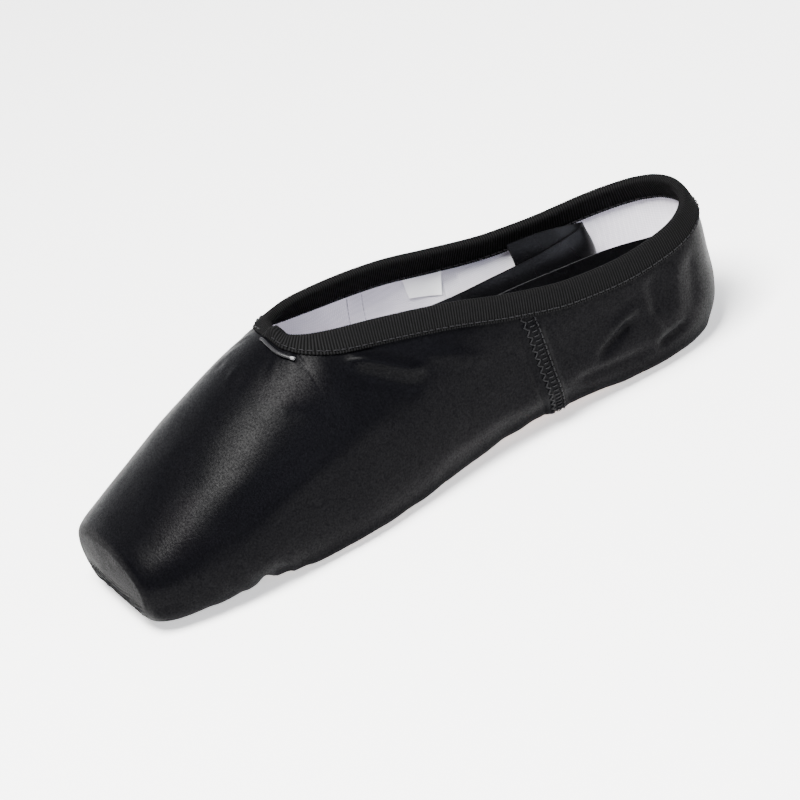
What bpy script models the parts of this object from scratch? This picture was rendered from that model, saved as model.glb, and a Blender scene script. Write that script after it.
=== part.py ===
"""Pointe shoe: hollow upper, leather outsole, insole, collar binding, drawstring tail and two ribbons.
The toe points to -Y, the heel to +Y, and the shoe stands on its sole at z = 0."""

import math

import bmesh
import bpy
import numpy as np
from mathutils import Vector
from mathutils.bvhtree import BVHTree

MM = 0.001

# Driving sizes, in millimetres; MIDDLE is the middle of the overall length, from the toe
MIDDLE = 120.81
WALL = 1.8
GAP = 0.3
OUTSOLE_THICK = 2.6
OUTSOLE_BEVEL = 0.5
INSOLE_THICK = 2.0
SOLE_FRONT = 42.0
SOLE_BACK = 230.0
OPENING_INSET = 7.0
INSOLE_INSET = 1.6
BINDING_OUT = 8.0
BINDING_IN = 8.5
BINDING_THICK = 0.8
# Room between the tape's legs and the wall, over the usual gap: outside and inside
BINDING_EASE = 0.1
BINDING_SLACK = 0.4
# How much shorter the legs are at the throat, and how far round the collar that lasts
THROAT_CUT_OUT = 4.6
THROAT_CUT_IN = 2.5
THROAT_CUT_RUN = 13.0
BINDING_RISE = 1.15
# Sections of the tape: their pitch round the throat, along the sides and round the heel
THROAT_RUN = 22.0
THROAT_PITCH = 2.2
SIDE_PITCH = 5.2
HEEL_RUN = 45.0
HEEL_PITCH = 4.0
# The last section before the heel stays this far from it
LAST_PITCH = 2.0
RIBBON_WIDTH = 22.0
RIBBON_THICK = 0.6
CORD_RADIUS = 0.6
CORD_RUN = 13.0
# Distance of the cord's middle from the tape's lower edge, how fast it drifts away from it,
# and its extra lift off the satin
CORD_OFFSET = 1.25
CORD_DRIFT = 0.1
CORD_LIFT = 0.3
SEAM_STEP = 0.6
SEAM_WIDTH = 8.0
SEAM_FOOT = 158.4
SEAM_LEAN = 4.4

# Box sections from the platform back to the throat:
# distance from the toe, half width, height of the widest line, top, underside
RINGS = np.array([
    [0.0, 25.0, 16.5, 26.5, 7.0],
    [1.2, 28.0, 16.5, 29.3, 4.4],
    [4.0, 30.3, 16.3, 31.6, 2.6],
    [11.0, 33.4, 16.0, 35.5, 1.8],
    [20.0, 35.6, 16.4, 40.6, 1.6],
    [30.0, 37.3, 17.2, 46.3, 1.7],
    [37.0, 38.2, 17.9, 50.4, 2.4],
    [42.0, 38.6, 18.3, 53.2, 4.1],
    [55.0, 38.9, 19.2, 59.8, 3.2],
    [67.0, 38.6, 19.9, 65.3, 2.9],
    [80.5, 38.1, 20.5, 70.1, 2.9],
])

# Ribs from the throat back to the heel:
# middle of the rib from the toe, turn in plan, reach to the widest line, its height,
# collar height, reach to the collar
RIBS = np.array([
    [80.5, 0.0, 38.1, 20.5, 70.1, 0.0],
    [82.3, 0.0, 38.0, 20.5, 69.8, 8.0],
    [86.2, 0.0, 37.6, 20.5, 69.4, 12.8],
    [94.0, 0.0, 36.4, 20.5, 68.7, 17.2],
    [110.6, 0.0, 33.9, 20.6, 66.4, 21.2],
    [132.7, 0.0, 31.2, 21.2, 62.0, 24.9],
    [154.8, 0.0, 29.9, 22.0, 55.6, 27.4],
    [176.8, 2.0, 29.4, 22.3, 50.2, 28.4],
    [196.0, 11.0, 29.2, 22.2, 48.2, 28.0],
    [208.5, 30.0, 28.7, 22.4, 48.8, 26.8],
    [212.6, 50.0, 28.0, 23.0, 50.0, 25.6],
    [213.9, 70.0, 27.5, 23.6, 51.0, 24.7],
    [214.0, 90.0, 27.5, 24.0, 51.5, 24.3],
])

# Outsole: distance from the toe and half width
SOLE_OUTLINE = np.array([
    [42.0, 19.0],
    [44.2, 23.6],
    [50.0, 27.6],
    [62.0, 30.6],
    [76.0, 31.2],
    [90.0, 29.6],
    [108.0, 25.0],
    [126.0, 19.6],
    [144.0, 16.6],
    [162.0, 16.6],
    [180.0, 18.4],
    [198.0, 19.9],
    [212.0, 19.2],
    [222.0, 15.4],
    [228.0, 8.8],
    [230.0, 2.0],
])

# Underside of the outsole: distance from the toe and height
SOLE_LINE = np.array([
    [30.0, 1.9],
    [42.0, 1.1],
    [52.0, 0.35],
    [60.0, 0.0],
    [104.0, 0.0],
    [116.0, 0.5],
    [134.0, 2.5],
    [152.0, 3.9],
    [170.0, 2.9],
    [188.0, 0.6],
    [198.0, 0.0],
    [246.0, 0.0],
])


OUTLINE_STEP = 0.5
# Half width that stands for no sole at all, in front of it and behind it
NO_SOLE = -9.0
# How far the cutter of the foot opening reaches below the wall and above it
CUT_BELOW = 4.0
CUT_ABOVE = 1.5
# The underside is flat past the sole's edge by this much, up to a share of the half width
FLAT_MARGIN = 0.6
FLAT_LIMIT = 0.86
BOX_FLAT = 0.62
# Columns of points up a half section: flat, lower curve and upper curve
FLAT_STEPS = 3
LOW_STEPS = 5
HIGH_STEPS = 7
# Direction of the wall at the collar in degrees, and the reaches over which the box turns into that wall
COLLAR_LEAN = 112.0
OPEN_FROM = 12.0
OPEN_FULL = 25.0


def steady(table, at):
    """Monotone cubic through the rows of a table whose first column rises."""
    x = table[:, 0]
    y = table[:, 1:]
    h = np.diff(x)
    d = np.diff(y, axis=0) / h[:, None]
    m = np.zeros_like(y)
    m[0] = d[0]
    m[-1] = d[-1]
    for i in range(1, len(x) - 1):
        same = d[i - 1] * d[i] > 0
        w1 = 2 * h[i] + h[i - 1]
        w2 = h[i] + 2 * h[i - 1]
        top = w1 + w2
        low = w1 / np.where(same, d[i - 1], 1) + w2 / np.where(same, d[i], 1)
        m[i] = np.where(same, top / low, 0)
    i = int(np.clip(np.searchsorted(x, at, side="right") - 1, 0, len(x) - 2))
    t = (at - x[i]) / h[i]
    a = (1 + 2 * t) * (1 - t) ** 2
    b = t * (1 - t) ** 2
    c = t * t * (3 - 2 * t)
    e = t * t * (t - 1)
    return a * y[i] + b * h[i] * m[i] + c * y[i + 1] + e * h[i] * m[i + 1]


def sole_height(s):
    return float(steady(SOLE_LINE, s)[0])


def outline_points():
    """Half outline of the sole from its front edge to the heel, as (half width, distance from the toe)."""
    rows = np.column_stack([np.arange(len(SOLE_OUTLINE)), SOLE_OUTLINE])
    out = []
    for k in np.arange(0, len(rows) - 1 + 1e-6, OUTLINE_STEP):
        s, w = steady(rows, k)
        out.append((w, s))
    return np.array(out)


OUTLINE = outline_points()


def sole_half_width(s):
    return float(np.interp(s, OUTLINE[:, 1], OUTLINE[:, 0], left=NO_SOLE, right=NO_SOLE))


def bezier(p0, p1, p2, p3, t):
    t = np.asarray(t)[:, None]
    p0, p1, p2, p3 = (np.array(p) for p in (p0, p1, p2, p3))
    return (1 - t) ** 3 * p0 + 3 * (1 - t) ** 2 * t * p1 + 3 * (1 - t) * t * t * p2 + t ** 3 * p3


def section(half, widest, top, reach, under, flat):
    """Half section as (reach, height) from the middle of the underside to the collar or ridge.
    Near the throat the upper part is the closed box's own curve cut off at the collar;
    further back it turns into a wall that leans in a little."""
    base = [(flat * i / FLAT_STEPS, under) for i in range(FLAT_STEPS)]
    rise = widest - under
    room = half - flat
    low = bezier((flat, under), (flat + 0.62 * room, under), (half, under + 0.34 * rise), (half, widest),
                 np.linspace(0, 1, LOW_STEPS + 1))
    steps = 1 - np.linspace(1, 0, HIGH_STEPS + 1) ** 1.3
    ridge_reach = 0.6 * half
    fine = np.linspace(0, 1, 401)
    over = bezier((half, 0.0), (half, 0.55), (ridge_reach, 1.0), (0.0, 1.0), fine)
    end = float(np.interp(-reach, -over[:, 0], fine))
    box = bezier((half, 0.0), (half, 0.55), (ridge_reach, 1.0), (0.0, 1.0), steps * end)
    box[:, 1] = widest + (top - widest) * box[:, 1] / box[-1, 1]
    up = top - widest
    lean = math.radians(COLLAR_LEAN)
    last = (reach - 0.4 * up * math.cos(lean), top - 0.4 * up * math.sin(lean))
    wall = bezier((half, widest), (half, widest + up * 0.55), last, (reach, top), steps)
    open_share = min(max((reach - OPEN_FROM) / (OPEN_FULL - OPEN_FROM), 0.0), 1.0)
    open_share = open_share * open_share * (3 - 2 * open_share)
    high = box * (1 - open_share) + wall * open_share
    return np.vstack([np.array(base), low, high[1:]])


def upper_station(k):
    """Half section of the upper in the shoe's own millimetres.
    k runs from 0 at the platform to 10 at the throat and on to the back of the heel."""
    last_ring = len(RINGS) - 1
    if k <= last_ring:
        rows = np.column_stack([np.arange(len(RINGS)), RINGS])
        s, half, widest, top, under = steady(rows, k)
        flat = BOX_FLAT * half
        if s >= SOLE_FRONT:
            under = sole_height(s) + OUTSOLE_THICK + GAP
            flat = max(flat, flat_reach(s, 0.0, half))
        sec = section(half, widest, top, 0.0, under, flat)
        return np.column_stack([sec[:, 0], np.full(len(sec), s), sec[:, 1]])
    rows = np.column_stack([np.arange(len(RIBS)), RIBS])
    s, turn, half, widest, top, reach = steady(rows, k - last_ring)
    phi = math.radians(turn)
    foot = np.array([0.75 * half * math.cos(phi), s + 0.75 * half * math.sin(phi)])
    under = sole_height(foot[1]) + OUTSOLE_THICK + GAP
    flat = flat_reach(s, phi, half)
    sec = section(half, widest, top, reach, under, flat)
    rib = np.column_stack([sec[:, 0] * math.cos(phi), s + sec[:, 0] * math.sin(phi), sec[:, 1]])
    for p in rib[:FLAT_STEPS + 1]:
        p[2] = sole_height(p[1]) + OUTSOLE_THICK + GAP
    return rib


def flat_reach(s, phi, half):
    """How far along a rib the underside stays flat: just past the edge of the outsole."""
    reach = 0.0
    for r in np.arange(0.0, half, 0.25):
        x = r * math.cos(phi)
        y = s + r * math.sin(phi)
        if x > sole_half_width(y) + FLAT_MARGIN:
            break
        reach = r
    return min(reach, FLAT_LIMIT * half)


# Stations where the upper has a row of points
STATIONS = [0.0, 0.5, 1.0, 1.5, 2.0, 2.5, 3.0, 4.0, 5.0, 6.0, 7.0, 7.6, 8.3, 9.0, 9.5, 10.0,
            10.3, 10.6, 11.0, 11.4, 11.8, 12.2, 12.6, 13.0, 13.4, 13.8, 14.15, 14.45, 14.75, 15.05, 15.35,
            15.6, 15.85, 16.1, 16.35, 16.6, 16.9, 17.2, 17.5, 17.8, 18.1, 18.5, 18.9, 19.3, 19.7, 20.1,
            20.5, 20.9, 21.25, 21.6, 22.0]
# Rings inside the platform's edge, as shares of it, and how far its middle bulges
PLATFORM_RINGS = [0.0, 0.35, 0.7]
PLATFORM_DOME = 0.8
# The seam leans forward as it rises: share of the lean at each point of the section, and its raised part
SEAM_SHARES = [0, 0, 0, 0, 0.05, 0.15, 0.3, 0.45, 0.6, 0.72, 0.82, 0.9, 0.95, 0.98, 1.0, 1.0]
SEAM_RISE = [0, 0, 0, 0, 0.4, 1, 1, 1, 1, 1, 1, 1, 0, 0, 0, 0]
# Plain rows this close to the seam's own rows are left out
SEAM_CLEAR = 2.0
# Sections about the seam: how far behind its front edge, lean, whether raised
SEAM_ROWS = [(-7.5, 5.0, False), (-0.4, SEAM_LEAN, False), (0.2, SEAM_LEAN, True),
             (SEAM_WIDTH - 0.2, SEAM_LEAN, True), (SEAM_WIDTH + 0.4, SEAM_LEAN, False), (15.0, 4.5, False)]


def to_world(p):
    """Shoe millimetres (side, distance from the toe, height) to metres in the shared frame."""
    return Vector((p[0] * MM, (p[1] - MIDDLE) * MM, p[2] * MM))


def station_at(s):
    """The station whose rib stands at a distance from the toe, between the throat and the quarters."""
    at = np.arange(10.0, 18.6, 0.25)
    return float(np.interp(s, [upper_station(k)[-1][1] for k in at], at))


def seam_row(shift, lean, raised):
    """A section leaned along the side seam; a raised one stands off the wall by the seam's step."""
    whole = [upper_station(station_at(SEAM_FOOT + shift - lean * share)) for share in SEAM_SHARES]
    row = np.array([rib[j] for j, rib in enumerate(whole)])
    if raised:
        for j in range(len(row)):
            before = row[max(j - 1, 0)]
            after = row[min(j + 1, len(row) - 1)]
            along = after - before
            out = np.array([along[2], 0.0, -along[0]])
            row[j] = row[j] + SEAM_STEP * SEAM_RISE[j] * out / np.linalg.norm(out)
    return row


def upper_grid():
    """Rows of half sections, toe to heel, with the platform's own rings first."""
    rows = []
    edge = upper_station(0.0)
    centre = np.array([0.0, 0.0, RINGS[0, 2]])
    for share in PLATFORM_RINGS:
        row = centre + (edge - centre) * share
        row[:, 1] = -PLATFORM_DOME * (1 - share ** 2)
        row[:, 0] = np.maximum(row[:, 0], 0.0)
        rows.append(row)
    seam = [seam_row(shift, lean, raised) for shift, lean, raised in SEAM_ROWS]
    before = seam[0][:, 1].min() - SEAM_CLEAR
    after = seam[-1][:, 1].max() + SEAM_CLEAR
    plain = [upper_station(k) for k in STATIONS]
    rows += [row for row in plain if row[:, 1].max() < before]
    rows += seam
    rows += [row for row in plain if row[:, 1].min() > after]
    grid = np.array(rows)
    grid[:, 0, 0] = 0.0
    return grid


def clear_scene():
    for obj in list(bpy.data.objects):
        bpy.data.objects.remove(obj, do_unlink=True)
    for mesh in list(bpy.data.meshes):
        bpy.data.meshes.remove(mesh)


def collection(name):
    new = bpy.data.collections.new(name)
    bpy.context.scene.collection.children.link(new)
    return new


def material(name, colour, rough, sheen=0.0):
    mat = bpy.data.materials.new(name)
    mat.use_nodes = True
    shader = mat.node_tree.nodes["Principled BSDF"]
    shader.inputs["Base Color"].default_value = (*colour, 1.0)
    shader.inputs["Roughness"].default_value = rough
    shader.inputs["Sheen Weight"].default_value = sheen
    return mat


def add_mesh(name, verts, faces, where, mat=None):
    mesh = bpy.data.meshes.new(name)
    mesh.from_pydata([tuple(v) for v in verts], [], faces)
    bm = bmesh.new()
    bm.from_mesh(mesh)
    bmesh.ops.remove_doubles(bm, verts=bm.verts, dist=1e-6)
    bmesh.ops.dissolve_degenerate(bm, dist=1e-6, edges=bm.edges)
    bmesh.ops.recalc_face_normals(bm, faces=bm.faces)
    bm.to_mesh(mesh)
    bm.free()
    obj = bpy.data.objects.new(name, mesh)
    where.objects.link(obj)
    if mat:
        mesh.materials.append(mat)
    return obj


def modifier(obj, kind, name, **values):
    mod = obj.modifiers.new(name, kind)
    for key, value in values.items():
        setattr(mod, key, value)
    return mod


def grid_faces(rows, cols, closed_cols=False):
    faces = []
    for i in range(rows - 1):
        for j in range(cols if closed_cols else cols - 1):
            n = (j + 1) % cols
            faces.append((i * cols + j, i * cols + n, (i + 1) * cols + n, (i + 1) * cols + j))
    return faces


def slab(name, outline, z_low, z_high, where, mat, across):
    """Closed plate on the sole's outline (half width, distance from the toe), in rows across the foot."""
    cols = across + 1
    verts = []
    for z_of in (z_low, z_high):
        for w, s in outline:
            verts += [to_world((w * (2 * j / across - 1), s, z_of(s))) for j in range(cols)]
    count = len(outline) * cols
    sheet = grid_faces(len(outline), cols)
    faces = sheet + [tuple(v + count for v in f) for f in sheet]
    last = (len(outline) - 1) * cols
    for j in range(across):
        faces.append((j, j + 1, j + 1 + count, j + count))
        faces.append((last + j, last + j + 1, last + j + 1 + count, last + j + count))
    for i in range(len(outline) - 1):
        for edge in (0, across):
            a = i * cols + edge
            b = a + cols
            faces.append((a, b, b + count, a + count))
    return add_mesh(name, verts, faces, where, mat)


def inset_outline(inset):
    """The sole's half outline drawn in by an inset on every side."""
    span = SOLE_BACK - SOLE_FRONT
    share = (OUTLINE[:, 1] - SOLE_FRONT) / span
    s = SOLE_FRONT + inset + share * (span - 2 * inset)
    w = np.maximum(OUTLINE[:, 0] - inset, 1.5)
    return np.column_stack([w, s])


def build_upper(where, cutters, mat):
    grid = upper_grid()
    rows, cols = grid.shape[:2]
    verts = [to_world(p) for p in grid.reshape(-1, 3)]
    upper = add_mesh("upper", verts, grid_faces(rows, cols), where, mat)
    modifier(upper, "MIRROR", "both sides", use_clip=True, merge_threshold=1e-5)
    modifier(upper, "SOLIDIFY", "wall", thickness=WALL * MM, offset=-1.0, use_even_offset=True)

    def low(s):
        return sole_height(s) - CUT_BELOW

    def high(s):
        return sole_height(s) + OUTSOLE_THICK + GAP + WALL + CUT_ABOVE
    cutter = slab("foot opening", inset_outline(OPENING_INSET), low, high, cutters, None, 1)
    cutter.hide_render = True
    cutter.display_type = "WIRE"
    modifier(upper, "BOOLEAN", "foot opening", operation="DIFFERENCE", solver="EXACT", object=cutter)
    return upper


def wall_surfaces(upper):
    """The upper's outer and inner faces before its foot opening is cut: a tree and the corners of each."""
    opening = upper.modifiers["foot opening"]
    opening.show_viewport = False
    shell = upper.evaluated_get(bpy.context.evaluated_depsgraph_get())
    mesh = shell.to_mesh()
    count = len(mesh.vertices) // 2
    found = []
    for inner in (False, True):
        bm = bmesh.new()
        made = [bm.verts.new(v.co) for v in mesh.vertices]
        for face in mesh.polygons:
            sides = {v >= count for v in face.vertices}
            if sides == {inner}:
                bm.faces.new([made[v] for v in face.vertices])
        bmesh.ops.triangulate(bm, faces=bm.faces)
        bm.normal_update()
        tree = BVHTree.FromBMesh(bm)
        corners = [[(v.co.copy(), v.normal.copy()) for v in f.verts] for f in bm.faces]
        found.append((tree, corners))
        bm.free()
    shell.to_mesh_clear()
    opening.show_viewport = True
    return found


def on_surface(surface, point):
    """Nearest place on the upper's outer face and the smooth normal there."""
    tree, corners = surface
    place, _, index, _ = tree.find_nearest(point)
    normal = Vector((0, 0, 0))
    for corner, vertex_normal in corners[index]:
        normal += vertex_normal / ((corner - place).length + 1e-4)
    return place, normal.normalized()


def stand_off(surface, point, off):
    """A point off millimetres from a face, above the place nearest to the given point."""
    place, normal = on_surface(surface, point)
    return place + normal * off * MM


def inside(surface, point):
    """The point one wall thickness in from the outer face."""
    return stand_off(surface, point, -WALL)


def collar_points():
    """Points of the collar edge on the +X side, from the throat to the heel, closer at both ends."""
    raw = [upper_station(k)[-1] for k in np.arange(10.0, 22.01, 0.1)]
    raw = np.array(raw)
    raw[0, 0] = 0.0
    raw[-1, 0] = 0.0
    length = np.concatenate([[0], np.cumsum(np.linalg.norm(np.diff(raw, axis=0), axis=1))])
    steps = []
    at = 0.0
    while at < length[-1] - LAST_PITCH:
        steps.append(at)
        if at < THROAT_RUN:
            at += THROAT_PITCH
        elif at < length[-1] - HEEL_RUN:
            at += SIDE_PITCH
        else:
            at += HEEL_PITCH
    steps.append(length[-1])
    pts = np.column_stack([np.interp(steps, length, raw[:, c]) for c in range(3)])
    return pts, np.array(steps)


def collar_frames(surface):
    """For each collar point: place, direction down the wall, and distance round from the throat."""
    pts, steps = collar_points()
    frames = []
    for i, p in enumerate(pts):
        here = to_world(p)
        if i == 0 or i == len(pts) - 1:
            tangent = Vector((1.0, 0.0, 0.0))
            if i:
                tangent = -tangent
        else:
            tangent = (to_world(pts[i + 1]) - to_world(pts[i - 1])).normalized()
        _, normal = on_surface(surface, here)
        if i == 0 or i == len(pts) - 1:
            normal.x = 0.0
            normal.normalize()
        down = tangent.cross(normal).normalized()
        if down.z > 0 and i > 3:
            down = -down
        if i <= 3 and down.y > 0:
            down = -down
        frames.append((here, down, steps[i]))
    return frames


def leg_out(d):
    return BINDING_OUT - THROAT_CUT_OUT * math.exp(-(d / THROAT_CUT_RUN) ** 2)


def leg_in(d):
    return BINDING_IN - THROAT_CUT_IN * math.exp(-(d / THROAT_CUT_RUN) ** 2)


def build_binding(where, mat, surface, lining):
    """Tape folded over the collar edge: a U in section, swept round half the collar and mirrored."""
    near = GAP + BINDING_EASE
    far = near + BINDING_THICK
    near_in = GAP + BINDING_SLACK
    far_in = near_in + BINDING_THICK
    verts = []
    frames = collar_frames(surface)
    for n, (here, down, d) in enumerate(frames):
        lo = leg_out(d)
        li = leg_in(d)
        rim = on_surface(surface, here)[1]
        ring = []
        for off, deep in ((far, lo), (far, 0.67 * lo), (far, 0.33 * lo), (far, 0.8)):
            ring.append(stand_off(surface, here + down * deep * MM, off))
        for off, deep in ((0.6 * far, 0.9), (-0.5 * WALL, BINDING_RISE), (-WALL - 0.6 * far_in, 0.9)):
            ring.append(here - down * deep * MM + rim * off * MM)
        for off, deep in ((far_in, 0.8), (far_in, 0.5 * li), (far_in, li), (near_in, li), (near_in, 0.5 * li),
                          (near_in, 0.8)):
            ring.append(stand_off(lining, inside(surface, here + down * deep * MM), off))
        for off in (-WALL - near_in, near):
            ring.append(here - down * 0.35 * MM + rim * off * MM)
        for off, deep in ((near, 0.8), (near, 0.33 * lo), (near, 0.67 * lo), (near, lo)):
            ring.append(stand_off(surface, here + down * deep * MM, off))
        if n in (0, len(frames) - 1):
            for point in ring:
                point.x = 0.0
        verts += ring
    cols = len(ring)
    faces = grid_faces(len(frames), cols, True)
    binding = add_mesh("binding", verts, faces, where, mat)
    modifier(binding, "MIRROR", "both sides", use_clip=True, merge_threshold=1e-5)
    return binding


def smooth_path(points, count):
    """Even points on a smooth curve through the given ones."""
    pts = np.array(points, dtype=float)
    gaps = np.linalg.norm(np.diff(pts[:, :3], axis=0), axis=1)
    key = np.concatenate([[0], np.cumsum(gaps)])
    rows = np.column_stack([key, pts])
    return np.array([steady(rows, t) for t in np.linspace(0, key[-1], count)])


def ribbon(name, path, count, where, mat):
    """Band on its edge: path rows are (side, distance from the toe, height of the lower edge)."""
    rows = smooth_path(path, count)
    up = Vector((0, 0, 1))
    verts = []
    for i, row in enumerate(rows):
        along = Vector(rows[min(i + 1, len(rows) - 1)] - rows[max(i - 1, 0)])
        side = along.cross(up).normalized()
        for a, b in ((1.0, 0.5), (1.0, -0.5), (0.0, -0.5), (0.0, 0.5)):
            verts.append(to_world(Vector(row) + up * a * RIBBON_WIDTH + side * b * RIBBON_THICK))
    faces = grid_faces(len(rows), 4, True)
    last = (len(rows) - 1) * 4
    faces += [(0, 1, 2, 3), (last + 3, last + 2, last + 1, last)]
    return add_mesh(name, verts, faces, where, mat)


# Ribbon paths: side, distance from the toe, height of the lower edge
FAR_RIBBON = [
    (-24.6, 181.0, 24.5),
    (-24.8, 190.0, 23.5),
    (-24.9, 200.0, 21.5),
    (-24.2, 208.0, 19.8),
    (-22.8, 210.0, 19.4),
    (-21.6, 208.0, 19.0),
    (-21.4, 198.0, 18.0),
    (-21.6, 180.0, 17.5),
    (-21.8, 160.0, 17.8),
    (-21.8, 142.0, 18.5),
]
NEAR_RIBBON = [
    (6.5, 152.0, 25.0),
    (5.0, 170.0, 23.0),
    (4.0, 190.0, 21.0),
    (3.5, 208.0, 18.5),
    (4.0, 220.0, 16.5),
    (6.2, 227.0, 15.0),
    (9.5, 228.0, 13.5),
    (12.5, 222.0, 10.5),
    (14.5, 208.0, 7.6),
    (15.0, 190.0, 7.9),
    (14.5, 172.0, 10.0),
]


def build_drawstring(where, mat, surface):
    """The cord's tail: out at the centre front, then along the lower edge of the binding."""
    frames = collar_frames(surface)
    points = []
    for here, down, d in frames:
        if d > CORD_RUN:
            break
        beside = here + down * (leg_out(d) + CORD_OFFSET + CORD_DRIFT * d) * MM
        points.append(stand_off(surface, beside, CORD_RADIUS + GAP + CORD_LIFT))
    points[0].x = 0.9 * MM
    curve = bpy.data.curves.new("drawstring_tail", "CURVE")
    curve.dimensions = "3D"
    curve.bevel_depth = CORD_RADIUS * MM
    curve.bevel_resolution = 2
    curve.use_fill_caps = True
    spline = curve.splines.new("POLY")
    fine = smooth_path([(p.x, p.y, p.z) for p in points], 14)
    spline.points.add(len(fine) - 1)
    for target, p in zip(spline.points, fine):
        target.co = (p[0], p[1], p[2], 1.0)
    curve.materials.append(mat)
    tail = bpy.data.objects.new("drawstring_tail", curve)
    where.objects.link(tail)
    return tail


def main():
    clear_scene()
    shoe = collection("pointe_shoe")
    cutters = collection("cutters")
    satin = material("black satin", (0.008, 0.008, 0.009), 0.35, 0.4)
    tape = material("black grosgrain tape", (0.010, 0.010, 0.009), 0.7)
    leather = material("sole leather", (0.78, 0.60, 0.49), 0.6)
    board = material("insole cotton", (0.72, 0.68, 0.70), 0.85)
    ribbon_satin = material("black ribbon satin", (0.008, 0.008, 0.009), 0.3, 0.4)
    cord = material("black elastic cord", (0.06, 0.06, 0.06), 0.5)

    upper = build_upper(shoe, cutters, satin)

    def sole_low(s):
        return sole_height(s)

    def sole_high(s):
        return sole_height(s) + OUTSOLE_THICK
    outsole = slab("outsole", OUTLINE, sole_low, sole_high, shoe, leather, 2)
    modifier(outsole, "BEVEL", "worn edge", width=OUTSOLE_BEVEL * MM, segments=1, limit_method="ANGLE",
             angle_limit=math.radians(50))

    def insole_low(s):
        return sole_height(s) + OUTSOLE_THICK + GAP + WALL + GAP

    def insole_high(s):
        return insole_low(s) + INSOLE_THICK
    slab("insole", inset_outline(INSOLE_INSET), insole_low, insole_high, shoe, board, 2)

    surface, lining = wall_surfaces(upper)
    build_binding(shoe, tape, surface, lining)
    build_drawstring(shoe, cord, surface)
    ribbon("ribbon_far", FAR_RIBBON, 36, shoe, ribbon_satin)
    ribbon("ribbon_near", NEAR_RIBBON, 40, shoe, ribbon_satin)


main()
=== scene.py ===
"""Looks of the pointe shoe: satin upper, leather sole, taped collar, ribbons and a drawstring tail.
The toe points to -Y and the heel to +Y; +X is the side that the camera sees."""

import math

import bmesh
import bpy
import numpy as np
from mathutils import Matrix, Vector, noise
from mathutils.bvhtree import BVHTree


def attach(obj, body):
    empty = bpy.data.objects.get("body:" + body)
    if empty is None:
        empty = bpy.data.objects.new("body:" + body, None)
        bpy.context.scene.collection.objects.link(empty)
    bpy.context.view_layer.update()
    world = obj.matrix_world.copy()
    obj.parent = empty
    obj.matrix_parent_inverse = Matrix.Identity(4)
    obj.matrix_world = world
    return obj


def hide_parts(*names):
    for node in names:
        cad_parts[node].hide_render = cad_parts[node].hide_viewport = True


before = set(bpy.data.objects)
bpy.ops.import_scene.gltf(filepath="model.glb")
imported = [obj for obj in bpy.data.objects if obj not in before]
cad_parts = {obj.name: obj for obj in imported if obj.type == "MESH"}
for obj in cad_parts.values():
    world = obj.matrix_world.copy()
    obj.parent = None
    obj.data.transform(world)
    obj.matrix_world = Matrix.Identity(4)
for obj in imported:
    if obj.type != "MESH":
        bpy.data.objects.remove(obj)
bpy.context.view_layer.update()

MM = 0.001
MIDDLE = 120.81
WALL = 1.8
GAP = 0.3
OUTSOLE_THICK = 2.6
INSOLE_THICK = 2.0
SOLE_FRONT = 42.0
SOLE_BACK = 230.0
OPENING_INSET = 7.0
OPENING_DEPTH = 0.6
INSOLE_INSET = 1.6
BINDING_OUT = 8.0
BINDING_IN = 8.5
BINDING_THICK = 0.8
THROAT_CUT_OUT = 4.6
THROAT_CUT_IN = 2.5
THROAT_CUT_RUN = 13.0
BINDING_RISE = 1.15
RIBBON_WIDTH = 22.0
RIBBON_THICK = 0.4
CORD_RADIUS = 0.6
CORD_RUN = 13.0
CORD_OFFSET = 1.25
CORD_DRIFT = 0.1
CORD_LIFT = 0.3
SEAM_STEP = 0.6
SEAM_WIDTH = 8.0
SEAM_FOOT = 158.4
SEAM_LEAN = 4.4

# Box sections: distance from the toe, half width, height of the widest line, top, underside
RINGS = np.array([
    [0.0, 25.0, 16.5, 26.5, 7.0],
    [1.2, 28.0, 16.5, 29.3, 4.4],
    [4.0, 30.3, 16.3, 31.6, 2.6],
    [11.0, 33.4, 16.0, 35.5, 1.8],
    [20.0, 35.6, 16.4, 40.6, 1.6],
    [30.0, 37.3, 17.2, 46.3, 1.7],
    [37.0, 38.2, 17.9, 50.4, 2.4],
    [42.0, 38.6, 18.3, 53.2, 4.1],
    [55.0, 38.9, 19.2, 59.8, 3.2],
    [67.0, 38.6, 19.9, 65.3, 2.9],
    [80.5, 38.1, 20.5, 70.1, 2.9],
])

# Ribs behind the throat: middle from the toe, turn in plan, reach to the widest line, its height,
# collar height, reach to the collar
RIBS = np.array([
    [80.5, 0, 38.1, 20.5, 70.1, 0],
    [82.3, 0, 38, 20.5, 69.8, 8],
    [86.2, 0, 37.6, 20.5, 69.4, 12.8],
    [94, 0, 36.4, 20.5, 68.7, 17.2],
    [110.6, 0, 33.9, 20.6, 66.4, 21.2],
    [132.7, 0, 31.2, 21.2, 62, 24.9],
    [154.8, 0, 29.9, 22, 55.6, 27.4],
    [176.8, 2, 29.4, 22.3, 50.2, 28.4],
    [196, 11, 29.2, 22.2, 48.2, 28],
    [208.5, 30, 28.7, 22.4, 48.8, 26.8],
    [212.6, 50, 28, 23, 50, 25.6],
    [213.9, 70, 27.5, 23.6, 51, 24.7],
    [214, 90, 27.5, 24, 51.5, 24.3],
])

# Outsole: distance from the toe and half width
SOLE_OUTLINE = np.array([
    [42.0, 19.0],
    [44.2, 23.6],
    [50.0, 27.6],
    [62.0, 30.6],
    [76.0, 31.2],
    [90.0, 29.6],
    [108.0, 25.0],
    [126.0, 19.6],
    [144.0, 16.6],
    [162.0, 16.6],
    [180.0, 18.4],
    [198.0, 19.9],
    [212.0, 19.2],
    [222.0, 15.4],
    [228.0, 8.8],
    [230.0, 2.0],
])

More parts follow.
